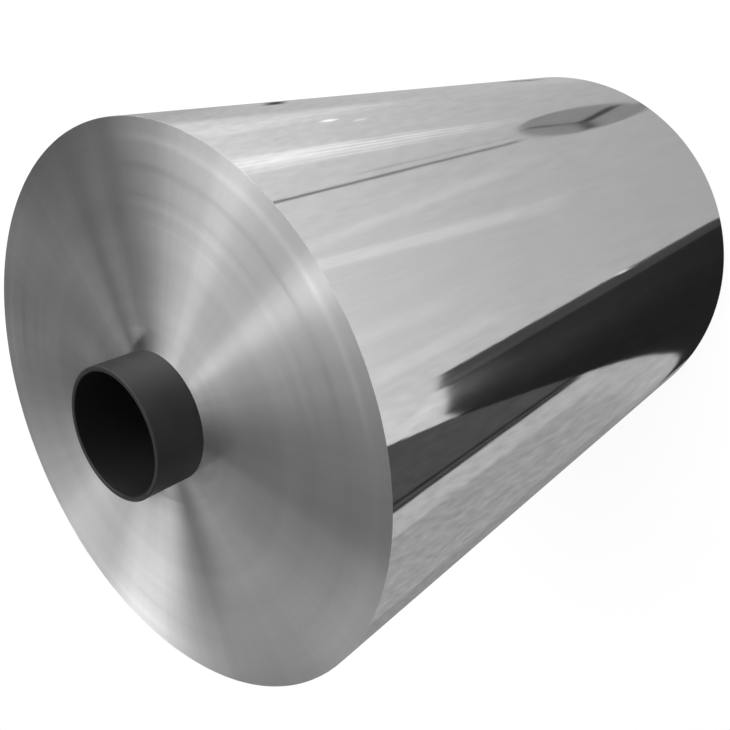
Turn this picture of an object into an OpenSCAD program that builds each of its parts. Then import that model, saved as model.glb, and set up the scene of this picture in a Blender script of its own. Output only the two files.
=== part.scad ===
// A jumbo roll of aluminium foil, wound on a steel core tube that stands out of both ends.
// The roll stands on one end of its core, with its axis along Z.

/* [Foil] */
// Width of the foil web, which is the length of the wound part
web_width = 1000; // [200:5:1600]
// Diameter over the wound turns
roll_dia = 700; // [300:5:1000]
// How far the free end of the last turn stands off the turn under it
tail_step = 0.8; // [0.1:0.1:3]
// Direction in which the free end lies, around the axis
tail_angle = 110; // [-180:1:180]

/* [Turns on the end faces] */
// Number of bands of turns that can be told apart on an end face
band_count = 14; // [4:1:24]
// How far a band of turns has strayed sideways on the core at most
band_stray = 0.3; // [0:0.1:3]
// How far the outer turns of a band stand past its inner turns at most
band_dish = 0.1; // [0:0.1:2]
// Share of a band's width by which its edge is out of even spacing at most
band_unevenness = 0.3; // [0:0.05:0.4]

/* [Core tube] */
// Diameter of the core's bore, which takes the winding shaft
core_bore = 152.4; // [70:0.1:200]
// Wall thickness of the core
core_wall = 6.3; // [2:0.1:20]
// How far the core stands out of the wound part at each end
core_stub = 65; // [10:1:150]
// Chamfer on the core's rims, inside and outside
core_chamfer = 1; // [0.2:0.1:2]
// Gap all round between the core and the first turn
winding_gap = 0.05; // [0.02:0.01:0.3]

/* [Hidden] */
$fn = 128;

core_r = core_bore / 2;
core_outer_r = core_r + core_wall;
core_length = web_width + 2 * core_stub;
wound_inner_r = core_outer_r + winding_gap;
roll_r = roll_dia / 2;
band_width = (roll_r - wound_inner_r) / band_count;

// Turning angles that spread the bands' edges and shifts without repeating
edge_turn = 137.5;
shift_turn = 71;
dish_turn = 101;

// What the cutting shapes reach past the solid that they cut
over = 5;

// Radius of the edge between two bands, counted from the core
function band_r(i) =
    i == 0 ? wound_inner_r :
    i == band_count ? roll_r + tail_step + over :
    wound_inner_r + band_width * (i + band_unevenness * sin(i * edge_turn));

// How far a band's inner and outer turns lie above the web's nominal edge
function band_inner_shift(i) = band_stray * sin(i * shift_turn);
function band_outer_shift(i) = band_inner_shift(i) + band_dish * sin(i * dish_turn);

// One edge of the web as it lies on an end face, from the core to past the last turn
function web_edge(z) = [
    for (i = [0 : band_count - 1])
        for (p = [[band_r(i), z + band_inner_shift(i)], [band_r(i + 1), z + band_outer_shift(i)]]) p
];

function reversed(points) = [for (i = [len(points) - 1 : -1 : 0]) points[i]];

// The wound bands: the web strays the same way at both of its edges, so both faces follow it
module wound_bands() {
    rotate_extrude()
        polygon(concat(web_edge(core_stub), reversed(web_edge(core_stub + web_width))));
}

// A half cylinder on the side of the free end that the angle turns towards
module half_round(r, height, shift = 0) {
    intersection() {
        translate([shift, 0, 0]) cylinder(r = r, h = height);
        translate([-2 * r, 0, -over]) cube([4 * r, 2 * r, height + 2 * over]);
    }
}

// The spiral outline of the last turn: it runs out from the roll's radius over half a turn,
// and drops back by its step at the free end
module last_turn_outline() {
    rotate([0, 0, tail_angle]) {
        half_round(roll_r + tail_step / 2, core_length, tail_step / 2);
        rotate([0, 0, 180]) half_round(roll_r, core_length);
    }
}

module foil_coil() {
    color("silver")
        intersection() {
            wound_bands();
            last_turn_outline();
        }
}

module core_tube() {
    color("dimgray")
        rotate_extrude()
            polygon([
                [core_r, core_chamfer],
                [core_r + core_chamfer, 0],
                [core_outer_r - core_chamfer, 0],
                [core_outer_r, core_chamfer],
                [core_outer_r, core_length - core_chamfer],
                [core_outer_r - core_chamfer, core_length],
                [core_r + core_chamfer, core_length],
                [core_r, core_length - core_chamfer]
            ]);
}

foil_coil();
core_tube();
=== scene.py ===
"""Dresses a jumbo roll of aluminium foil on its steel core, and sets it in a plain studio.

The roll stands on one end of its core with its axis along Z, in metres. The wound foil and the core are
turned again here with fine turns, ripples and rounded rims. The foil is nearly a mirror, so what makes its
look is the studio that it reflects: soft panels over the end face, and cards beside and below the side.
"""

import functools
import logging
import math
from dataclasses import dataclass, field
from enum import Enum

import bmesh
import bpy
from mathutils import Matrix, Vector, noise

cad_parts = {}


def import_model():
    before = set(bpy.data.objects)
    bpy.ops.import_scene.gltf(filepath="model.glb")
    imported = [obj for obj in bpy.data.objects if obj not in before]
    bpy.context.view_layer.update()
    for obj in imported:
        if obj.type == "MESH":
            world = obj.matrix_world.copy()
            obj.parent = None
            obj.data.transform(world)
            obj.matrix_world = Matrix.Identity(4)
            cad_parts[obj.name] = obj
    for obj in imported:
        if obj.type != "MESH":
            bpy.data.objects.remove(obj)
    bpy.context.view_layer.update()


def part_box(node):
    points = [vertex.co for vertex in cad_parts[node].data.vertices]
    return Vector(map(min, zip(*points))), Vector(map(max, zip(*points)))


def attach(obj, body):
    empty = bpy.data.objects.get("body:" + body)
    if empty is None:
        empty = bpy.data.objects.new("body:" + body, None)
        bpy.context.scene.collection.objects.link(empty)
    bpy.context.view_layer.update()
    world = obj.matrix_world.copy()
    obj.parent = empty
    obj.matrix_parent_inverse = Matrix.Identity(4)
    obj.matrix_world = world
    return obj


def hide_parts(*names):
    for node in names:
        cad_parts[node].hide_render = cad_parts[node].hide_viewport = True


LOG = logging.getLogger("foil_roll")

BODY = "root"
MM = 0.001
PHOTO_WIDTH_PX = 730
Z_AXIS = (0.0, 0.0, 1.0)
CARD_EDGES = 5
CORE_STUB = 65.0 * MM
WINDING_GAP = 0.05 * MM
WHITEST_FOIL = 0.98


class RecordSlot(Enum):
    """Material slots of the record."""

    FOIL = "foil"
    CORE = "core"


class Wiring:
    """Short ways to add nodes to a node tree and join them."""

    def __init__(self, tree: bpy.types.NodeTree) -> None:
        """Keeps the tree.

        Args:
            tree: the node tree that is filled.
        """
        self.tree = tree

    def put(self, socket: bpy.types.NodeSocket, value: object) -> None:
        """Links an output to a socket, or sets the socket's own value.

        Args:
            socket: the input to fill.
            value: an output socket, a number, a vector or a colour.
        """
        if isinstance(value, bpy.types.NodeSocket):
            self.tree.links.new(value, socket)
        else:
            socket.default_value = value

    def node(
        self, kind: str, inputs: dict[str | int, object] | None = None, **settings: object
    ) -> bpy.types.Node:
        """Adds a node.

        Args:
            kind: the node's type name.
            inputs: values or outputs by input name or number.
            settings: properties of the node.

        Returns:
            The new node.
        """
        made = self.tree.nodes.new(kind)
        for name, value in settings.items():
            setattr(made, name, value)
        for name, value in (inputs or {}).items():
            self.put(made.inputs[name], value)
        return made

    def group(
        self, shared: bpy.types.NodeTree, label: str, inputs: dict[str, object]
    ) -> bpy.types.NodeSocket:
        """Adds a labelled copy of a shared node group and returns its one output."""
        return self.node("ShaderNodeGroup", inputs, node_tree=shared, label=label).outputs[0]

    def math(self, operation: str, *values: object) -> bpy.types.NodeSocket:
        """Output of a Math node with these inputs."""
        return self.node("ShaderNodeMath", dict(enumerate(values)), operation=operation).outputs[0]

    def vector(self, operation: str, *values: object) -> bpy.types.NodeSocket:
        """Output of a Vector Math node: a value for a dot product or a length, else a vector."""
        made = self.node("ShaderNodeVectorMath", dict(enumerate(values)), operation=operation)
        return made.outputs["Value" if operation in ("DOT_PRODUCT", "LENGTH", "DISTANCE") else "Vector"]

    def step(self, value: object, low: object, high: object) -> bpy.types.NodeSocket:
        """Smooth step of a value from 0 at low to 1 at high."""
        inputs = {"Value": value, "From Min": low, "From Max": high}
        return self.node("ShaderNodeMapRange", inputs, interpolation_type="SMOOTHSTEP").outputs["Result"]

    def blend(self, factor: object, first: object, second: object) -> bpy.types.NodeSocket:
        """Value that goes from first at a factor of 0 to second at 1."""
        return self.node("ShaderNodeMix", {0: factor, 2: first, 3: second}, data_type="FLOAT").outputs[0]

    def around(self, value: object, middle: float, swing: object) -> bpy.types.NodeSocket:
        """Turns a noise value into one that swings about a middle."""
        return self.math("MULTIPLY_ADD", self.math("SUBTRACT", value, 0.5), swing, middle)

    def grey(self, value: object) -> bpy.types.NodeSocket:
        """Grey colour of a value."""
        return self.node("ShaderNodeCombineColor", {0: value, 1: value, 2: value}).outputs[0]

    def noise(
        self, vector: object, scale: float, detail: float = 2.0, roughness: float = 0.5
    ) -> bpy.types.NodeSocket:
        """Noise value between 0 and 1.

        Args:
            vector: where the noise is read.
            scale: waves per unit of the vector.
            detail: number of finer octaves.
            roughness: strength of each finer octave.

        Returns:
            The Fac output.
        """
        inputs = {"Vector": vector, "Scale": scale, "Detail": detail, "Roughness": roughness}
        return self.node("ShaderNodeTexNoise", inputs).outputs[0]


class SharedGroup:
    """A shader node group with one value as its output."""

    def __init__(self, name: str, vectors: tuple[str, ...], values: tuple[str, ...], output: str) -> None:
        """Makes the group with its sockets.

        Args:
            name: the group's name.
            vectors: names of its vector inputs.
            values: names of its value inputs.
            output: name of its output.
        """
        self.tree = bpy.data.node_groups.new(name, "ShaderNodeTree")
        for label in vectors:
            self.tree.interface.new_socket(label, in_out="INPUT", socket_type="NodeSocketVector")
        for label in values:
            self.tree.interface.new_socket(label, in_out="INPUT", socket_type="NodeSocketFloat")
        self.tree.interface.new_socket(output, in_out="OUTPUT", socket_type="NodeSocketFloat")
        self.wiring = Wiring(self.tree)
        self.inputs = self.wiring.node("NodeGroupInput").outputs
        self.output = self.wiring.node("NodeGroupOutput").inputs[output]

    def finish(self, value: bpy.types.NodeSocket) -> bpy.types.NodeTree:
        """Joins the result to the group's output and returns the group."""
        self.wiring.put(self.output, value)
        return self.tree


def straight_card_group() -> bpy.types.NodeTree:
    """Group that masks the directions inside a card with straight edges.

    Returns:
        The group. A direction is inside where it is on the inner side of every edge's plane.
    """
    edges = tuple(f"Edge {number}" for number in range(1, CARD_EDGES + 1))
    made = SharedGroup("Card with straight edges", ("Direction", *edges), ("Softness",), "Mask")
    wiring, inputs = made.wiring, made.inputs
    minus = wiring.math("MULTIPLY", inputs["Softness"], -1.0)
    depths = [wiring.vector("DOT_PRODUCT", inputs["Direction"], inputs[edge]) for edge in edges]
    depth = functools.reduce(lambda first, second: wiring.math("MINIMUM", first, second), depths)
    return made.finish(wiring.step(depth, minus, inputs["Softness"]))


def round_card_group() -> bpy.types.NodeTree:
    """Group that masks the directions inside a round or oval card.

    Returns:
        The group. Across and Along are the card's axes, each divided by the card's radius that way.
    """
    vectors = ("Direction", "Centre", "Across", "Along")
    made = SharedGroup("Round card", vectors, ("Softness",), "Mask")
    wiring, inputs = made.wiring, made.inputs
    across = wiring.vector("DOT_PRODUCT", inputs["Direction"], inputs["Across"])
    along = wiring.vector("DOT_PRODUCT", inputs["Direction"], inputs["Along"])
    across_squared = wiring.math("MULTIPLY", across, across)
    along_squared = wiring.math("MULTIPLY", along, along)
    away = wiring.math("SQRT", wiring.math("ADD", across_squared, along_squared))
    outer = wiring.math("ADD", 1.0, inputs["Softness"])
    inner = wiring.math("SUBTRACT", 1.0, inputs["Softness"])
    inside = wiring.math("SUBTRACT", 1.0, wiring.step(away, inner, outer))
    ahead = wiring.vector("DOT_PRODUCT", inputs["Direction"], inputs["Centre"])
    return made.finish(wiring.math("MULTIPLY", inside, wiring.math("GREATER_THAN", ahead, 0.0)))


def soft_panel_group() -> bpy.types.NodeTree:
    """Group that gives the light of a soft round panel.

    Returns:
        The group. The light falls off as a bell curve whose standard deviation is Width.
    """
    made = SharedGroup("Soft panel", ("Direction", "Centre"), ("Width", "Strength"), "Light")
    wiring, inputs = made.wiring, made.inputs
    away = wiring.vector("DISTANCE", inputs["Direction"], inputs["Centre"])
    share = wiring.math("DIVIDE", away, inputs["Width"])
    share_squared = wiring.math("MULTIPLY", share, share)
    fall = wiring.math("EXPONENT", wiring.math("MULTIPLY", share_squared, -0.5))
    return made.finish(wiring.math("MULTIPLY", fall, inputs["Strength"]))


@dataclass(frozen=True)
class Direction:
    """A direction out from the roll, in degrees.

    Args:
        azimuth: angle around Z from +X towards +Y.
        elevation: angle above the horizon.
    """

    azimuth: float
    elevation: float

    def vector(self) -> Vector:
        """Unit vector of the direction."""
        turn, rise = math.radians(self.azimuth), math.radians(self.elevation)
        return Vector((math.cos(rise) * math.cos(turn), math.cos(rise) * math.sin(turn), math.sin(rise)))


@dataclass(frozen=True)
class StudioSky:
    """The world's node tree while the studio's cards and panels are added to it.

    Args:
        wiring: the tree's wiring.
        direction: where a ray goes.
        straight: group for cards with straight edges.
        rounded: group for round cards.
        soft: group for soft panels.
    """

    wiring: Wiring
    direction: bpy.types.NodeSocket
    straight: bpy.types.NodeTree
    rounded: bpy.types.NodeTree
    soft: bpy.types.NodeTree


@dataclass(frozen=True)
class SoftPanel:
    """A round lit panel that fades out from its middle.

    Args:
        name: what the panel is for.
        centre: the direction of its middle.
        width: spread of its light in degrees.
        strength: light at its middle, where 1 is white.
    """

    name: str
    centre: Direction
    width: float
    strength: float

    def add(self, sky: StudioSky, level: object) -> bpy.types.NodeSocket:
        """Adds the panel's light to the studio's level.

        Args:
            sky: the world's tree.
            level: the level so far.

        Returns:
            The level with the panel's light.
        """
        inputs = {
            "Direction": sky.direction,
            "Centre": self.centre.vector(),
            "Width": math.radians(self.width),
            "Strength": self.strength,
        }
        return sky.wiring.math("ADD", level, sky.wiring.group(sky.soft, self.name, inputs))


@dataclass(frozen=True)
class Card:
    """A flat card with straight edges that shades or lights what the foil reflects.

    Args:
        name: what the card is for.
        level: its brightness, where 1 is white.
        softness: width of its edge in degrees.
        corners: directions of its corners, in order around it, at most as many as CARD_EDGES.
    """

    name: str
    level: float
    softness: float
    corners: tuple[Vector, ...]

    @classmethod
    def between(cls, name: str, level: float, softness: float, *corners: tuple[float, float]) -> "Card":
        """Card with corners given as azimuth and elevation in degrees."""
        return cls(name, level, softness, tuple(Direction(*corner).vector() for corner in corners))

    @classmethod
    def bar(
        cls,
        name: str,
        level: float,
        softness: float,
        width: float,
        start: tuple[float, float],
        end: tuple[float, float],
    ) -> "Card":
        """Narrow card from one direction to another.

        Args:
            name: what the card is for.
            level: its brightness, or a veil's factor.
            softness: width of its edge in degrees.
            width: its width in degrees.
            start: azimuth and elevation of the middle of one end.
            end: azimuth and elevation of the middle of the other end.

        Returns:
            The card, with four corners.
        """
        first, last = Direction(*start).vector(), Direction(*end).vector()
        aside = first.cross(last).normalized() * math.radians(width / 2)
        return cls(name, level, softness, (first - aside, last - aside, last + aside, first + aside))

    def edges(self) -> list[Vector]:
        """Normals of the planes through the eye and each edge, which point into the card.

        Returns:
            Always CARD_EDGES normals: a card with fewer edges repeats its last one.
        """
        middle = sum(self.corners, Vector())
        normals = []
        for first, second in zip(self.corners, self.corners[1:] + self.corners[:1]):
            normal = first.cross(second).normalized()
            normals.append(normal if normal.dot(middle) > 0 else -normal)
        return normals + normals[-1:] * (CARD_EDGES - len(normals))

    def add(self, sky: StudioSky, level: object) -> bpy.types.NodeSocket:
        """Lays the card over the studio's level.

        Args:
            sky: the world's tree.
            level: the level so far.

        Returns:
            The level with the card over it.
        """
        inputs = {"Direction": sky.direction, "Softness": math.sin(math.radians(self.softness))}
        inputs |= {f"Edge {number}": edge for number, edge in enumerate(self.edges(), 1)}
        return sky.wiring.blend(sky.wiring.group(sky.straight, self.name, inputs), level, self.level)


@dataclass(frozen=True)
class RoundCard:
    """A round or oval card.

    Args:
        name: what the card is for.
        level: its brightness, where 1 is white.
        softness: width of its edge as a share of its radius.
        centre: the direction of its middle.
        radius_across: its radius along the horizon, in degrees.
        radius_along: its radius up and down, in degrees.
    """

    name: str
    level: float
    softness: float
    centre: Direction
    radius_across: float
    radius_along: float

    def add(self, sky: StudioSky, level: object) -> bpy.types.NodeSocket:
        """Lays the card over the studio's level.

        Args:
            sky: the world's tree.
            level: the level so far.

        Returns:
            The level with the card over it.
        """
        middle = self.centre.vector()
        across = Vector(Z_AXIS).cross(middle).normalized()
        along = middle.cross(across)
        inputs = {
            "Direction": sky.direction,
            "Centre": middle,
            "Across": across / math.sin(math.radians(self.radius_across)),
            "Along": along / math.sin(math.radians(self.radius_along)),
            "Softness": self.softness,
        }
        return sky.wiring.blend(sky.wiring.group(sky.rounded, self.name, inputs), level, self.level)


@dataclass(frozen=True)
class Veil(Card):
    """A straight card that brightens or dims what lies behind it: its level is the factor."""

    def add(self, sky: StudioSky, level: object) -> bpy.types.NodeSocket:
        """Multiplies the studio's level by the factor inside the card."""
        factor = Card.add(self, sky, 1.0)
        return sky.wiring.math("MULTIPLY", level, factor)


def strip_lights() -> list[Card | RoundCard]:
    """Thin strips of light below the horizon, which the side shows as fine bright lines along the axis.

    Returns:
        The strips, each strip light given by azimuth, elevation, width, length and level.
    """
    strips = [
        RoundCard("strip light", level, 0.9, Direction(azimuth, elevation), width, length)
        for azimuth, elevation, width, length, level in (
            (-10.6, -44.0, 0.22, 3.5, 0.82),
            (-9.6, -47.5, 0.28, 7.0, 0.84),
            (-8.5, -43.0, 0.24, 4.0, 0.95),
            (-7.5, -49.0, 0.30, 8.0, 0.92),
            (-6.4, -43.5, 0.26, 5.0, 1.05),
            (-5.4, -48.0, 0.32, 9.0, 1.02),
            (-4.3, -42.5, 0.26, 4.5, 1.05),
            (-3.3, -49.5, 0.32, 8.0, 0.98),
            (-2.2, -44.5, 0.24, 5.0, 0.92),
            (-1.3, -48.0, 0.26, 7.0, 0.82),
        )
    ]
    for shift in (-1.6, 0.0, 1.6):
        high, low = (-58.5 + shift, -43.0), (-65.5 + shift, -60.0)
        strips.append(Veil.bar("front strip, line", 1.10, 0.4, 0.6, high, low))
    strips += [
        Veil.bar("front strip", 1.12, 1.2, 3.4, (-58.5, -41.0), (-66.0, -63.0)),
        Veil.bar("front strip, right", 1.12, 1.2, 2.6, (-53.0, -42.0), (-39.0, -60.0)),
        Veil.bar("front strip, left", 1.07, 1.5, 3.5, (-93.0, -40.0), (-93.0, -54.0)),
        Veil.bar("post's glint", 1.10, 1.2, 3.4, (-111.0, -46.0), (-108.0, -56.0)),
        Veil.bar("right strip", 1.13, 2.0, 4.0, (19.0, -40.0), (31.0, -51.5)),
        Veil.bar("right strip, low part", 1.10, 2.0, 4.0, (31.0, -51.5), (48.0, -58.0)),
    ]
    for azimuth in (17.0, 22.0, 25.5):
        high, low = (azimuth, -41.0), (azimuth + 9.0, -53.0)
        strips.append(Veil.bar("right strip, line", 1.10, 0.3, 0.45, high, low))
    return strips


def ground_cards() -> list[Card | RoundCard]:
    """Cards for the ground beside and behind the roll.

    Returns:
        The cards, from the back of the pile to its front.
    """
    return [
        Card.between("right ground", 0.50, 3.0, (33.0, 8.0), (33.0, -72.0), (104.0, -72.0), (104.0, 8.0)),
        Card.between(
            "right ground, shaded rim", 0.42, 3.0, (40.0, 8.0), (40.0, -38.0), (104.0, -38.0), (104.0, 8.0)
        ),
        Card.between(
            "left ground", 0.345, 0.5,
            (-168.3, 8.0), (-160.0, -64.0), (140.0, -76.0), (102.0, -66.0), (102.0, 8.0),
        ),
        Card.between(
            "left ground, lit foot", 0.42, 1.0,
            (-160.0, -58.0), (178.8, -58.2), (132.0, -58.4), (125.0, -68.0), (165.0, -70.0),
        ),
        Card.between(
            "left ground, lit strip", 0.46, 0.6,
            (-167.2, 8.0), (-162.0, -60.0), (-176.0, -59.5), (-176.4, 8.0),
        ),
        Veil.between(
            "left ground, shaded rim", 0.80, 2.0, (141.0, 8.0), (141.0, -66.0), (102.0, -66.0), (102.0, 8.0)
        ),
    ]


def gate_cards() -> list[Card | RoundCard]:
    """Cards for the dark gate that the lower side mirrors.

    Returns:
        The cards, from the back of the pile to its front.
    """
    return [
        Card.between(
            "gate foot", 0.075, 0.25,
            (-167.2, 8.0), (-162.3, -60.2), (-142.0, -50.2), (-135.0, -43.0), (-135.0, 8.0),
        ),
        Card.bar("gate foot, seam", 0.02, 0.15, 0.8, (-167.0, 8.0), (-162.7, -58.8)),
        Card.bar("gate foot, inner seam", 0.02, 0.15, 0.7, (-162.9, 8.0), (-160.6, -58.6)),
        Card.between(
            "gate", 0.015, 0.18,
            (-121.6, -51.0), (-138.5, -49.9), (-143.0, -50.6), (-162.5, -59.2), (-117.2, -71.4),
        ),
        Card.between(
            "gate, far part", 0.015, 0.18,
            (-161.8, -59.0), (169.5, -63.8), (130.0, -62.2), (-117.2, -71.4), (-141.8, -60.0),
        ),
        Card.between(
            "gate post", 0.050, 0.15, (-121.6, -51.0), (-127.4, -50.3), (-123.4, -71.8), (-117.2, -71.4)
        ),
        RoundCard("gate post's glint", 1.0, 0.5, Direction(-119.4, -65.0), 0.30, 0.30),
    ]


def hanging_cards() -> list[Card | RoundCard]:
    """Cards for the rod and the disc with three spokes, the two small lamps and the short bars.

    Returns:
        The cards, from the back of the pile to its front.
    """
    hub = (-17.0, -65.6)
    return [
        Card.bar("rod", 0.20, 0.35, 0.80, (-35.4, 8.0), (-22.0, -61.4)),
        Card.bar("rod's cable", 0.42, 0.35, 0.60, (-22.0, -50.5), (-18.3, -61.0)),
        Card.bar("disc's cable", 0.24, 0.4, 1.1, (-17.5, -68.7), (-5.0, -69.9)),
        RoundCard("disc", 0.25, 0.05, Direction(-13.3, -65.4), 4.6, 3.9),
        Card.bar("disc, low spoke", 0.05, 0.20, 0.80, hub, (-23.0, -66.1)),
        Card.bar("disc, right spoke", 0.06, 0.20, 0.80, hub, (-6.6, -67.6)),
        Card.bar("disc, high spoke", 0.08, 0.15, 0.50, hub, (-13.2, -62.1)),
        RoundCard("small lamp", 1.2, 0.4, Direction(18.4, -48.9), 0.75, 0.55),
        RoundCard("small lamp, low", 0.85, 0.5, Direction(15.2, -51.0), 0.50, 0.40),
        Card.bar("dash", 0.07, 0.5, 1.2, (58.0, -45.3), (48.5, -45.2)),
        Card.bar("dash, low", 0.20, 0.6, 1.2, (54.0, -61.0), (49.0, -63.0)),
    ]


def lower_cards() -> list[Card | RoundCard]:
    """Cards below the horizon, which the side reflects, from the back of the pile to its front."""
    return [*strip_lights(), *ground_cards(), *gate_cards(), *hanging_cards()]


def upper_panels() -> list[SoftPanel]:
    """Panels over the roll, which the end face reflects as fans of light.

    The directions, widths and strengths are the result of a least-squares fit to the end face's look. They
    weren't set by hand, and no lamp is known to have been in these places.

    Returns:
        The panels. Their order doesn't matter, because their light is added up.
    """
    return [
        SoftPanel("right wall, low part", Direction(11.2, 12.2), 8.8, 7.4),
        SoftPanel("right wall", Direction(3.9, 20.0), 6.1, 5.4),
        SoftPanel("right wall, high part", Direction(-13.7, 34.7), 10.2, 11.6),
        SoftPanel("right wall, far part", Direction(28.5, 13.7), 3.5, 5.6),
        SoftPanel("front wall, right", Direction(-43.5, 34.0), 6.5, 10.4),
        SoftPanel("front wall", Direction(-92.4, 47.9), 4.6, 4.6),
        SoftPanel("roof, front right", Direction(-52.7, 69.5), 7.7, 5.4),
        SoftPanel("roof, front left", Direction(-118.2, 66.6), 10.5, 2.4),
        SoftPanel("roof window", Direction(32.4, 78.1), 2.3, 12.5),
        SoftPanel("left wall", Direction(-151.7, 39.4), 10.9, 0.92),
        SoftPanel("left wall, far part", Direction(171.2, 23.1), 11.9, 1.5),
        SoftPanel("back window, right", Direction(73.3, 26.0), 2.4, 0.96),
        SoftPanel("low back lamp, right", Direction(78.6, 12.1), 2.6, 1.8),
        SoftPanel("high back lamp", Direction(99.4, 36.9), 1.4, 1.53),
        SoftPanel("back lamp", Direction(106.2, 31.1), 1.4, 4.6),
        SoftPanel("low back lamp", Direction(106.0, 12.0), 2.8, 8.4),
        SoftPanel("back window, left", Direction(133.0, 31.6), 6.9, 0.54),
    ]


def lower_glows() -> list[SoftPanel]:
    """Faint glows below the horizon, which the side reflects.

    Returns:
        The glows. Their order doesn't matter, because their light is added up.
    """
    return [
        SoftPanel("side glow", Direction(-3.5, -44.0), 4.0, 0.08),
        SoftPanel("gate haze", Direction(-131.0, -51.0), 2.4, 0.08),
        SoftPanel("gate haze, low part", Direction(-136.0, -56.0), 4.0, 0.016),
        SoftPanel("gate haze, far part", Direction(-131.0, -64.0), 5.0, 0.009),
    ]


@dataclass
class Studio:
    """The plain studio: white backdrop and floor, a soft lamp, and what the foil reflects.

    Args:
        upper_level: brightness of the studio above the floor.
        nadir_level: brightness straight below, where the side reflects the far foot of the studio.
        skirt_level: brightness from the middle of the lower half up to the horizon.
        ramp: heights on the unit sphere between which nadir_level goes over to skirt_level.
        horizon: heights on the unit sphere between which the ground goes over to the room.
        cloud_fade: depths on the unit sphere between which the ground's unevenness sets in.
        cloud_left: strength of the unevenness for each unit towards -X.
        cloud_right: strength of the unevenness for each unit towards +X.
        cloud_least: strength of the unevenness that is there everywhere.
        cloud_scale: waves of the unevenness per unit.
        cloud_flatness: how much finer the unevenness is up and down than around.
        floor_size: side of the floor in metres.
        floor_glow: share of the floor's own white that the camera sees, with the rest left for the shadow.
        lamp_size: diameter of the soft lamp in metres.
        lamp_energy: its power in watts.
        lamp_place: where it hangs, in metres.
        cards: cards and veils below the horizon, from the back of the pile to its front.
        panels: soft panels above the horizon.
        glows: faint lights below the horizon, added over the cards.
    """

    upper_level: float = 0.06
    nadir_level: float = 0.385
    skirt_level: float = 0.70
    ramp: tuple[float, float] = (-0.97, -0.65)
    horizon: tuple[float, float] = (-0.02, 0.08)
    cloud_fade: tuple[float, float] = (0.35, 0.60)
    cloud_left: float = 1.7
    cloud_right: float = 0.7
    cloud_least: float = 0.04
    cloud_scale: float = 24.0
    cloud_flatness: float = 5.0
    floor_size: float = 60.0
    floor_glow: float = 0.92
    lamp_size: float = 4.0
    lamp_energy: float = 150.0
    lamp_place: tuple[float, float, float] = (1.6, -0.6, 4.2)
    cards: list[Card | RoundCard] = field(default_factory=lower_cards)
    panels: list[SoftPanel] = field(default_factory=upper_panels)
    glows: list[SoftPanel] = field(default_factory=lower_glows)

    def room_level(self, sky: StudioSky) -> bpy.types.NodeSocket:
        """Level of the studio above the horizon: a dim room and its panels.

        Args:
            sky: the world's tree.

        Returns:
            The level.
        """
        level: object = self.upper_level
        for panel in self.panels:
            level = panel.add(sky, level)
        return level

    def ground_level(self, sky: StudioSky) -> bpy.types.NodeSocket:
        """Level below the horizon: a ramp, the cards, the glows and a cloudy unevenness.

        Args:
            sky: the world's tree.

        Returns:
            The level.
        """
        wiring = sky.wiring
        axes = wiring.node("ShaderNodeSeparateXYZ", {0: sky.direction}).outputs
        low, high = self.ramp
        ramp = {"From Min": low, "From Max": high, "To Min": self.nadir_level, "To Max": self.skirt_level}
        level = wiring.node("ShaderNodeMapRange", {"Value": axes["Z"], **ramp}).outputs["Result"]
        for piece in [*self.cards, *self.glows]:
            level = piece.add(sky, level)
        left = wiring.math("MULTIPLY", axes["X"], -self.cloud_left)
        right = wiring.math("MULTIPLY", axes["X"], self.cloud_right)
        swing = wiring.math("ADD", wiring.math("MAXIMUM", left, right), self.cloud_least)
        low_down = wiring.step(wiring.math("MULTIPLY", axes["Z"], -1.0), *self.cloud_fade)
        swing = wiring.math("MULTIPLY", swing, low_down)
        bands = wiring.vector("MULTIPLY", sky.direction, (1.0, 1.0, self.cloud_flatness))
        cloud = wiring.noise(bands, self.cloud_scale, 5.0, 0.62)
        return wiring.math("MULTIPLY", level, wiring.around(cloud, 1.0, swing))

    def build_world(self) -> None:
        """Makes the world: white for the camera, and the studio for what the roll reflects."""
        world = bpy.data.worlds.new("Studio")
        bpy.context.scene.world = world
        world.use_nodes = True
        world.node_tree.nodes.clear()
        wiring = Wiring(world.node_tree)
        direction = wiring.node("ShaderNodeTexCoord").outputs["Generated"]
        sky = StudioSky(wiring, direction, straight_card_group(), round_card_group(), soft_panel_group())
        colour = (1.0, 1.0, 1.0, 1.0)
        ground, room, white = (
            wiring.node("ShaderNodeBackground", {"Color": colour, "Strength": strength}).outputs[0]
            for strength in (self.ground_level(sky), self.room_level(sky), 1.0)
        )
        height = wiring.node("ShaderNodeSeparateXYZ", {0: direction}).outputs["Z"]
        horizon = wiring.step(height, *self.horizon)
        studio = wiring.node("ShaderNodeMixShader", {0: horizon, 1: ground, 2: room}).outputs[0]
        path = wiring.node("ShaderNodeLightPath").outputs
        backdrop = wiring.math("MAXIMUM", path["Is Camera Ray"], path["Is Transmission Ray"])
        seen = wiring.node("ShaderNodeMixShader", {0: backdrop, 1: studio, 2: white}).outputs[0]
        wiring.node("ShaderNodeOutputWorld", {"Surface": seen})

    def floor_finish(self) -> bpy.types.Material:
        """Pale floor that the camera sees white, with the roll's shadow kept.

        Returns:
            The floor's material.
        """
        material = bpy.data.materials.new("Pale floor")
        material.use_nodes = True
        material.node_tree.nodes.clear()
        wiring = Wiring(material.node_tree)
        matt = wiring.node("ShaderNodeBsdfDiffuse", {"Color": (0.9, 0.9, 0.9, 1.0)})
        glow = wiring.node("ShaderNodeEmission", {"Color": (1.0, 1.0, 1.0, 1.0), "Strength": 1.0})
        seen = wiring.node("ShaderNodeLightPath").outputs["Is Camera Ray"]
        share = wiring.math("MULTIPLY", seen, self.floor_glow)
        mixed = wiring.node("ShaderNodeMixShader", {0: share, 1: matt.outputs[0], 2: glow.outputs[0]})
        wiring.node("ShaderNodeOutputMaterial", {"Surface": mixed.outputs[0]})
        return material

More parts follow.
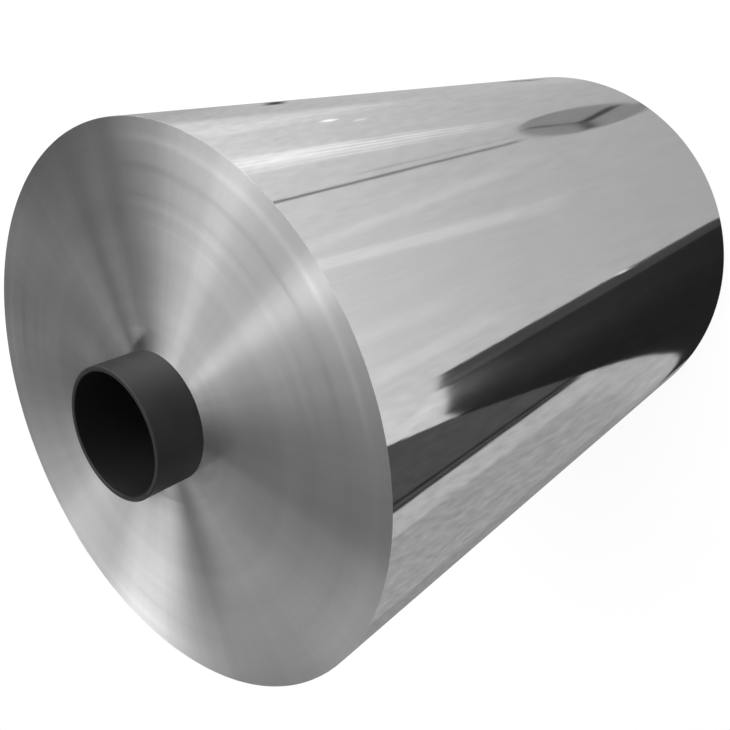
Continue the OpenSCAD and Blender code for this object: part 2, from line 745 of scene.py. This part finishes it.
    def build_floor(self) -> None:
        """Lays the floor under the roll. The foil looks through it at the studio's lower cards."""
        shape = bmesh.new()
        bmesh.ops.create_grid(shape, x_segments=1, y_segments=1, size=self.floor_size / 2)
        floor = mesh_object("floor", shape)
        floor.data.materials.append(self.floor_finish())
        floor.visible_glossy = False

    def build_lamp(self) -> None:
        """Hangs one large soft lamp over the roll for its matt parts and for the floor."""
        lamp = bpy.data.lights.new("soft lamp", "AREA")
        lamp.shape = "DISK"
        lamp.size = self.lamp_size
        lamp.energy = self.lamp_energy
        holder = bpy.data.objects.new("soft lamp", lamp)
        holder.location = self.lamp_place
        holder.rotation_euler = (Vector(Z_AXIS) - holder.location).to_track_quat("-Z", "Y").to_euler()
        holder.visible_glossy = False
        bpy.context.scene.collection.objects.link(holder)

    def build(self) -> None:
        """Builds the whole studio."""
        self.build_world()
        self.build_floor()
        self.build_lamp()
        bpy.context.scene.view_settings.view_transform = "Standard"


@dataclass(frozen=True)
class PhotoCamera:
    """The camera that looks at the roll as the photograph does.

    Args:
        eye: where the camera stands.
        aim: a point on its line of sight.
        roll: turn about the line of sight, in degrees, that lays the roll down in the picture.
        focal_px: focal length in pixels of the photograph.
        axis_px: where the line of sight meets the photograph, right of and below its middle.
        sensor_mm: width of the camera's sensor.
    """

    eye: tuple[float, float, float] = (0.0, -0.8476, 1.594)
    aim: tuple[float, float, float] = (0.0202, 0.0, 0.738)
    roll: float = -111.9
    focal_px: float = 808.5
    axis_px: tuple[float, float] = (-36.0, -36.0)
    sensor_mm: float = 36.0

    def build(self) -> None:
        """Makes the scene's camera."""
        data = bpy.data.cameras.new("photo camera")
        data.sensor_width = self.sensor_mm
        data.lens = self.focal_px / PHOTO_WIDTH_PX * self.sensor_mm
        data.shift_x = -self.axis_px[0] / PHOTO_WIDTH_PX
        data.shift_y = self.axis_px[1] / PHOTO_WIDTH_PX
        camera = bpy.data.objects.new("photo camera", data)
        forward = (Vector(self.aim) - Vector(self.eye)).normalized()
        level_right = forward.cross(Vector(Z_AXIS)).normalized()
        level_up = level_right.cross(forward)
        turn = math.radians(self.roll)
        right = math.cos(turn) * level_right + math.sin(turn) * level_up
        up = right.cross(forward)
        axes = Matrix((right, up, -forward)).transposed().to_4x4()
        camera.matrix_world = Matrix.Translation(self.eye) @ axes
        bpy.context.scene.collection.objects.link(camera)
        bpy.context.scene.camera = camera


def mesh_object(name: str, shape: bmesh.types.BMesh) -> bpy.types.Object:
    """Turns a finished bmesh into an object at the origin.

    Args:
        name: the object's name.
        shape: the bmesh, which is freed.

    Returns:
        The new object, linked to the scene.
    """
    mesh = bpy.data.meshes.new(name)
    shape.to_mesh(mesh)
    shape.free()
    made = bpy.data.objects.new(name, mesh)
    bpy.context.scene.collection.objects.link(made)
    return made


def spin_profile(
    points: list[tuple[float, float]], steps: int, start_turn: float = 0.0
) -> bmesh.types.BMesh:
    """Turns a closed outline of radius and height about Z into a closed skin.

    Args:
        points: the outline's corners as (radius, height), in order.
        steps: number of steps around.
        start_turn: angle of the first step, in radians.

    Returns:
        The bmesh, with its faces pointing outwards.
    """
    shape = bmesh.new()
    corners = [
        shape.verts.new((radius * math.cos(start_turn), radius * math.sin(start_turn), height))
        for radius, height in points
    ]
    outline = [shape.edges.new((first, second)) for first, second in zip(corners, corners[1:] + corners[:1])]
    bmesh.ops.spin(
        shape,
        geom=corners + outline,
        cent=(0.0, 0.0, 0.0),
        axis=Z_AXIS,
        dvec=(0.0, 0.0, 0.0),
        angle=math.tau,
        steps=steps,
        use_merge=True,
        use_duplicate=False,
    )
    bmesh.ops.remove_doubles(shape, verts=shape.verts[:], dist=1e-7)
    bmesh.ops.recalc_face_normals(shape, faces=shape.faces[:])
    return shape


def shade(shape: bmesh.types.BMesh, sharp_angle: float) -> None:
    """Shades a bmesh smooth, apart from edges that turn further than an angle.

    Args:
        shape: the bmesh.
        sharp_angle: the angle in degrees.
    """
    limit = math.radians(sharp_angle)
    for face in shape.faces:
        face.smooth = True
    for edge in shape.edges:
        edge.smooth = len(edge.link_faces) == 2 and edge.calc_face_angle(0.0) < limit


def principled(name: str) -> tuple[bpy.types.Material, Wiring, bpy.types.Node]:
    """Makes a material with one Principled shader.

    Args:
        name: the material's name.

    Returns:
        The material, its wiring and the shader node.
    """
    material = bpy.data.materials.new(name)
    material.use_nodes = True
    material.node_tree.nodes.clear()
    wiring = Wiring(material.node_tree)
    shader = wiring.node("ShaderNodeBsdfPrincipled")
    wiring.node("ShaderNodeOutputMaterial", {"Surface": shader.outputs[0]})
    return material, wiring, shader


@dataclass(frozen=True)
class TurnedSurface:
    """Outputs that say where a point lies on a piece turned about Z.

    Args:
        place: its place in the object's own coordinates.
        axes: that place's X, Y and Z.
        outward: that place with its height left out.
        radius: its distance from the axis.
        facing: how squarely its surface faces up or down, from 0 to 1.
    """

    place: bpy.types.NodeSocket
    axes: bpy.types.NodeOutputs
    outward: bpy.types.NodeSocket
    radius: bpy.types.NodeSocket
    facing: bpy.types.NodeSocket

    @classmethod
    def read(cls, wiring: Wiring) -> "TurnedSurface":
        """Adds the nodes that read the place.

        Args:
            wiring: the material's wiring.

        Returns:
            The outputs.
        """
        place = wiring.node("ShaderNodeTexCoord").outputs["Object"]
        axes = wiring.node("ShaderNodeSeparateXYZ", {0: place}).outputs
        outward = wiring.node("ShaderNodeCombineXYZ", {"X": axes["X"], "Y": axes["Y"]}).outputs[0]
        normal = wiring.node("ShaderNodeNewGeometry").outputs["Normal"]
        upward = wiring.node("ShaderNodeSeparateXYZ", {0: normal}).outputs["Z"]
        return cls(place, axes, outward, wiring.vector("LENGTH", outward), wiring.math("ABSOLUTE", upward))


@dataclass(frozen=True)
class FoilFinish:
    """Bright rolled foil: nearly a mirror on the side, satin with fine circles on the end faces.

    Args:
        side_roughness: roughness of the last turn's surface.
        end_roughness: roughness of the end faces, where the cut edges of the turns lie.
        stretch: strength of the drawing out, along the axis on the side and across the turns on the ends.
        streak_height: height of the fine lines along the side, in metres.
        wave_height: height of the wide soft waves along the side, in metres.
        circle_height: height of the fine circles on the end faces, in metres.
        tone: brightness of the metal.
        ring_swing: how far the wide rings on the end faces change their tone.
        ray_swing: how far the rays on the end faces change their tone.
        circle_swing: how far the fine circles on the end faces change their tone.
        streak_swing: how far the fine lines along the side change its tone.
    """

    side_roughness: float = 0.034
    end_roughness: float = 0.33
    stretch: float = 1.0
    streak_height: float = 0.012 * MM
    wave_height: float = 0.05 * MM
    circle_height: float = 0.006 * MM
    tone: float = 0.88
    ring_swing: float = 0.20
    ray_swing: float = 0.18
    circle_swing: float = 0.08
    streak_swing: float = 0.07

    def build(self) -> bpy.types.Material:
        """Makes the material.

        Returns:
            The material, for one piece.
        """
        material, wiring, shader = principled("Bright rolled foil")
        surface = TurnedSurface.read(wiring)
        end_face = wiring.step(surface.facing, 0.15, 0.3)

        streaks = wiring.noise(wiring.vector("MULTIPLY", surface.place, (1.0, 1.0, 0.05)), 230.0, 3.0, 0.6)
        waves = wiring.noise(wiring.vector("MULTIPLY", surface.place, (1.0, 1.0, 0.10)), 30.0, 1.0, 0.4)
        on_circle = wiring.node("ShaderNodeCombineXYZ", {"X": surface.radius}).outputs[0]
        circles = wiring.noise(on_circle, 380.0, 3.0, 0.6)
        rings = wiring.noise(on_circle, 26.0, 2.0, 0.5)
        rays = wiring.noise(wiring.vector("NORMALIZE", surface.outward), 9.0, 5.0, 0.65)
        cloud = wiring.noise(surface.place, 7.0, 3.0, 0.5)

        side_rough = wiring.around(streaks, self.side_roughness, 0.02)
        end_rough = wiring.around(circles, self.end_roughness, 0.05)
        wiring.put(shader.inputs["Roughness"], wiring.blend(end_face, side_rough, end_rough))
        ring_wear = wiring.around(rings, 0.0, self.ring_swing)
        end_wear = wiring.math("ADD", ring_wear, wiring.around(rays, 0.0, self.ray_swing))
        end_wear = wiring.math("ADD", end_wear, wiring.around(circles, 0.0, self.circle_swing))
        wear = wiring.blend(end_face, wiring.around(streaks, 0.0, self.streak_swing), end_wear)
        tone = wiring.math("ADD", wiring.around(cloud, self.tone, 0.06), wear)
        wiring.put(shader.inputs["Base Color"], wiring.grey(wiring.math("MINIMUM", tone, WHITEST_FOIL)))
        shader.inputs["Metallic"].default_value = 1.0
        shader.inputs["Anisotropic"].default_value = self.stretch
        x, y = surface.axes["X"], surface.axes["Y"]
        across = wiring.node("ShaderNodeCombineXYZ", {"X": x, "Y": y, "Z": 1.0}).outputs[0]
        wiring.put(shader.inputs["Tangent"], across)

        fine_height = wiring.math("MULTIPLY", streaks, self.streak_height)
        wide_height = wiring.math("MULTIPLY", waves, self.wave_height)
        side_height = wiring.math("ADD", fine_height, wide_height)
        end_height = wiring.math("MULTIPLY", circles, self.circle_height)
        height = wiring.blend(end_face, side_height, end_height)
        bump = wiring.node("ShaderNodeBump", {"Strength": 1.0, "Distance": 1.0, "Height": height})
        wiring.put(shader.inputs["Normal"], bump.outputs[0])
        return material


@dataclass(frozen=True)
class BlackenedSteelFinish:
    """Dark, half matt steel, with painted shade that makes the bore darkest and painted light on the flat
    rims.

    Args:
        bore_radius: radius of the bore.
        wall_tone: brightness of the outer wall.
        bore_painted_shade_tone: brightness of the bore, kept darker than the wall as painted shade in the
            tube's hollow.
        rim_painted_light_tone: brightness of the flat rims, which face the lamp: painted light, a tone of
            their own for how the lamp lights them.
        roughness: roughness of the steel.
        shine: share of the usual shine of a coated surface.
    """

    bore_radius: float
    wall_tone: float = 0.008
    bore_painted_shade_tone: float = 0.004
    rim_painted_light_tone: float = 0.013
    roughness: float = 0.50
    shine: float = 0.27

    def build(self) -> bpy.types.Material:
        """Makes the material.

        Returns:
            The material, for one piece.
        """
        material, wiring, shader = principled("Blackened steel")
        surface = TurnedSurface.read(wiring)
        grain = wiring.noise(surface.place, 220.0, 4.0, 0.6)
        smear = wiring.noise(wiring.vector("MULTIPLY", surface.place, (1.0, 1.0, 0.7)), 18.0, 4.0, 0.6)
        # The bore takes a darker tone than the wall: painted shade in the tube's hollow.
        bore_edge = (self.bore_radius + 0.2 * MM, self.bore_radius + 1.5 * MM)
        out_of_bore = wiring.step(surface.radius, *bore_edge)
        wall_tone = wiring.blend(out_of_bore, self.bore_painted_shade_tone, wiring.around(smear, self.wall_tone, 0.014))
        # Surfaces that face straight up or down, the flat rims, take a tone of their own: painted light for
        # how the lamp lights them.
        tone = wiring.blend(wiring.step(surface.facing, 0.80, 0.95), wall_tone, self.rim_painted_light_tone)
        wiring.put(shader.inputs["Base Color"], wiring.grey(tone))
        shader.inputs["Metallic"].default_value = 0.0
        shader.inputs["Specular IOR Level"].default_value = self.shine
        wiring.put(shader.inputs["Roughness"], wiring.around(smear, self.roughness, 0.25))
        bump = wiring.node("ShaderNodeBump", {"Strength": 0.5, "Distance": 0.05 * MM, "Height": grain})
        wiring.put(shader.inputs["Normal"], bump.outputs[0])
        return material


@dataclass
class WoundFoil:
    """All the turns of foil, with the bands of turns on both end faces and the step of the free end.

    Args:
        radius: radius over the wound turns.
        inner_radius: radius of the first turn.
        end_low: height of the lower edge of the web.
        end_high: height of its upper edge.
        band_count: number of bands of turns.
        band_stray: how far a band has strayed sideways at most.
        band_dish: how far a band's outer turns stand past its inner turns at most.
        band_unevenness: share of a band's width by which its edge is out of even spacing at most.
        edge_turn: angle in degrees, per band, that spreads the edges' unevenness without repeating.
        shift_turn: the same for the bands' sideways shifts.
        dish_turn: the same for the bands' dish.
        tail_angle: direction in which the free end lies, in degrees.
        tail_step: how far the free end stands off the turn under it.
        seam_turn: angle in radians from the free end to the first step of the spin.
        step_run: width over which a band's edge steps up or down.
        rim_radius: rounding of the rims.
        rim_share: share of rim_radius at which the rounding has its corners.
        points_per_step: points along the width of a step between two bands.
        side_rows: rows of faces along the side.
        steps: number of steps around.
        ripple: height of the last turn's soft ripples.
        ripple_waves: waves of the ripples around the roll, and for each metre along it.
        sharp_angle: angle in degrees from which an edge is shaded sharp.
    """

    radius: float
    inner_radius: float
    end_low: float
    end_high: float
    band_count: int = 14
    band_stray: float = 0.3 * MM
    band_dish: float = 0.1 * MM
    band_unevenness: float = 0.3
    edge_turn: float = 137.5
    shift_turn: float = 71.0
    dish_turn: float = 101.0
    tail_angle: float = 110.0
    tail_step: float = 0.8 * MM
    seam_turn: float = 0.0005
    step_run: float = 9.0 * MM
    rim_radius: float = 0.05 * MM
    rim_share: float = 0.3
    points_per_step: int = 6
    side_rows: int = 48
    steps: int = 320
    ripple: float = 0.02 * MM
    ripple_waves: tuple[float, float] = (6.0, 0.8)
    sharp_angle: float = 12.0

    def band_edge(self, number: int) -> float:
        """Radius of the inner edge of a band of turns.

        Args:
            number: the band, counted from the core.

        Returns:
            The radius. The number after the last band gives the roll's own radius.
        """
        if number == 0:
            return self.inner_radius
        if number == self.band_count:
            return self.radius
        width = (self.radius - self.inner_radius) / self.band_count
        return self.inner_radius + width * (
            number + self.band_unevenness * math.sin(math.radians(number * self.edge_turn))
        )

    def band_heights(self, number: int) -> tuple[float, float]:
        """How far a band's turns lie above the web's nominal edge.

        Args:
            number: the band, counted from the core.

        Returns:
            The height at its inner turns and the height at its outer turns.
        """
        inner = self.band_stray * math.sin(math.radians(number * self.shift_turn))
        return inner, inner + self.band_dish * math.sin(math.radians(number * self.dish_turn))

    def end_points(self, height: float, rim_drop: float) -> list[tuple[float, float]]:
        """Outline of one end face, from the core outwards.

        Args:
            height: height of the web's nominal edge.
            rim_drop: by how much the side starts below the face, for the rounded rim.

        Returns:
            Points as (radius, height).
        """
        points = [(self.inner_radius, height + self.band_heights(0)[0])]
        for band in range(1, self.band_count):
            edge = self.band_edge(band)
            below, above = self.band_heights(band - 1)[1], self.band_heights(band)[0]
            for part in range(self.points_per_step):
                share = part / (self.points_per_step - 1)
                eased = share * share * (3 - 2 * share)
                radius = edge + self.step_run * (share - 0.5)
                points.append((radius, height + below + (above - below) * eased))
        last_height = height + self.band_heights(self.band_count - 1)[1]
        points.append((self.radius - self.rim_radius, last_height))
        rim_cut = self.rim_radius * self.rim_share
        points.append((self.radius - rim_cut, last_height - rim_drop * self.rim_share))
        return points

    def outline(self) -> list[tuple[float, float]]:
        """Closed outline of the wound foil.

        Returns:
            Points as (radius, height).
        """
        upper = self.end_points(self.end_high, self.rim_radius)
        lower = self.end_points(self.end_low, -self.rim_radius)
        rest_of_rim = self.rim_radius * (1 - self.rim_share)
        top, foot = upper[-1][1] - rest_of_rim, lower[-1][1] + rest_of_rim
        rows = range(self.side_rows + 1)
        side = [(self.radius, top + (foot - top) * row / self.side_rows) for row in rows]
        return upper + side + lower[::-1]

    def shape_last_turn(self, shape: bmesh.types.BMesh) -> None:
        """Moves the side out along the last turn's spiral, drops it at the free end and adds faint ripples.

        Args:
            shape: the spun foil.
        """
        free_end = math.radians(self.tail_angle)
        waves, waves_along = self.ripple_waves
        for vert in shape.verts:
            radius = math.hypot(vert.co.x, vert.co.y)
            if radius < self.radius - 2 * self.rim_radius:
                continue
            turn = (math.atan2(vert.co.y, vert.co.x) - free_end) % math.tau
            outward = self.tail_step / 2 * (1 + math.cos(turn)) if turn < math.pi else 0.0
            around = Vector((math.cos(turn) * waves, math.sin(turn) * waves, vert.co.z * waves_along))
            outward += self.ripple * noise.noise(around)
            scale = (radius + outward) / radius
            vert.co.x *= scale
            vert.co.y *= scale

    def build(self) -> bpy.types.Object:
        """Makes the wound foil.

        Returns:
            The piece, which takes the place of its node.
        """
        start_turn = math.radians(self.tail_angle) + self.seam_turn
        shape = spin_profile(self.outline(), self.steps, start_turn)
        self.shape_last_turn(shape)
        shade(shape, self.sharp_angle)
        made = mesh_object("wound_foil", shape)
        made.data.materials.append(FoilFinish().build())
        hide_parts("foil_coil")
        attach(made, BODY)
        return made


@dataclass
class CoreTube:
    """The steel tube through the roll, with rounded rims.

    Args:
        outer_radius: its outer radius.
        low: height of its lower rim.
        high: height of its upper rim.
        wall: its wall thickness.
        chamfer: the chamfer on its rims.
        rounding: share of the chamfer by which its edges are rounded.
        steps: number of steps around.
        corner_angle: angle in degrees from which an edge is rounded.
        sharp_angle: angle in degrees from which an edge is shaded sharp.
    """

    outer_radius: float
    low: float
    high: float
    wall: float = 6.3 * MM
    chamfer: float = 1.0 * MM
    rounding: float = 0.3
    steps: int = 160
    corner_angle: float = 30.0
    sharp_angle: float = 50.0

    def build(self) -> bpy.types.Object:
        """Makes the core tube.

        Returns:
            The piece, which takes the place of its node.
        """
        inner, outer, cut = self.outer_radius - self.wall, self.outer_radius, self.chamfer
        outline = [
            (inner, self.low + cut),
            (inner + cut, self.low),
            (outer - cut, self.low),
            (outer, self.low + cut),
            (outer, self.high - cut),
            (outer - cut, self.high),
            (inner + cut, self.high),
            (inner, self.high - cut),
        ]
        shape = spin_profile(outline, self.steps)
        corner = math.radians(self.corner_angle)
        rims = [edge for edge in shape.edges if edge.is_manifold and edge.calc_face_angle(0.0) > corner]
        bmesh.ops.bevel(
            shape,
            geom=rims,
            offset=self.chamfer * self.rounding,
            offset_type="OFFSET",
            affect="EDGES",
            segments=2,
            profile=0.5,
            material=-1,
        )
        shade(shape, self.sharp_angle)
        made = mesh_object("core_tube_blackened", shape)
        made.data.materials.append(BlackenedSteelFinish(inner).build())
        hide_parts("core_tube")
        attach(made, BODY)
        return made


def main() -> None:
    """Builds the studio, the camera and the pieces."""
    logging.basicConfig(level=logging.INFO, format="%(name)s: %(message)s")
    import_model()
    PhotoCamera().build()
    Studio().build()
    coil_low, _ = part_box("foil_coil")
    core_low, core_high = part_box("core_tube")
    pieces = [
        WoundFoil(
            radius=-coil_low.y,
            inner_radius=core_high.x + WINDING_GAP,
            end_low=core_low.z + CORE_STUB,
            end_high=core_high.z - CORE_STUB,
        ).build(),
        CoreTube(outer_radius=core_high.x, low=core_low.z, high=core_high.z).build(),
    ]
    for piece in pieces:
        LOG.info("%s: %d faces", piece.name, len(piece.data.polygons))


if __name__ == "__main__":
    main()
